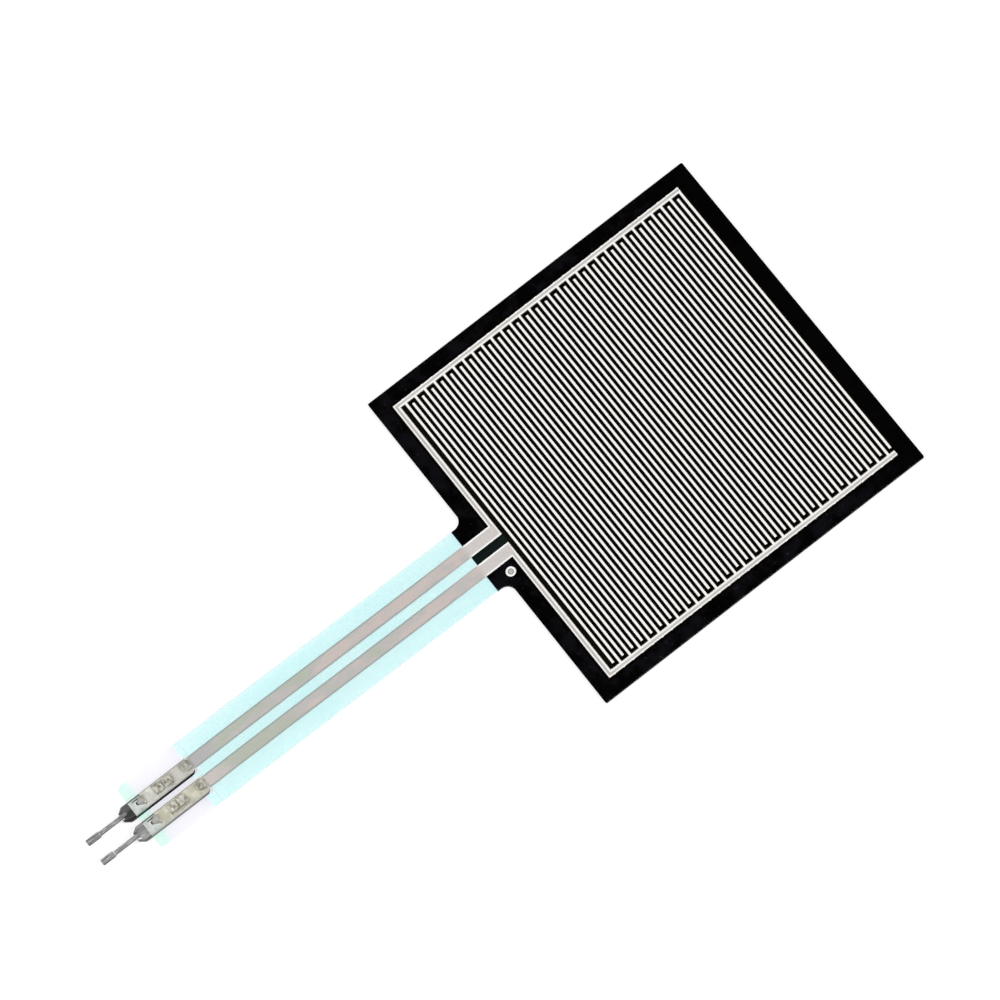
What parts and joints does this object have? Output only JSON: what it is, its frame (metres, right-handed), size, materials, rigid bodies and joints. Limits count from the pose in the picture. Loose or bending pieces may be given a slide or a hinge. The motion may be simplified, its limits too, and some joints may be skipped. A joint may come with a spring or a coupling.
{
  "type": "force sensing resistor",
  "caption": "Square thin-film force sensor: clear film with silver comb electrodes over a black carbon layer, and a flat tail ending in crimped solder pins.",
  "frame": {"origin": "centre of the square plate, on the adhesive face at its back", "axes": "+X away from the tail, along the length; +Y across, towards the terminal of the first comb; +Z out of the printed face"},
  "size_m": [0.0891, 0.04, 0.0012],
  "materials": {
    "clear_film": "clear polyester film, glossy",
    "silver_print": "screen-printed silver ink, satin",
    "clear_coat": "clear insulating coat with a cyan tint",
    "spacer_adhesive": "double-sided adhesive frame, black",
    "carbon_print": "screen-printed carbon, matt black",
    "back_film": "polyester film, black behind its print",
    "rear_adhesive": "pressure sensitive adhesive, tacky satin",
    "tinned_brass": "tin-plated brass sheet, satin bright"
  },
  "bodies": {
    "root": {"front_film": "clear_film", "electrode_a": "silver_print", "electrode_b": "silver_print", "corner_mark": "silver_print", "tail_coat": "clear_coat", "end_strip": "clear_coat", "spacer_adhesive": "spacer_adhesive", "carbon_layer": "carbon_print", "back_film": "back_film", "rear_adhesive": "rear_adhesive", "terminal_a": "tinned_brass", "terminal_b": "tinned_brass"}
  },
  "joints": []
}
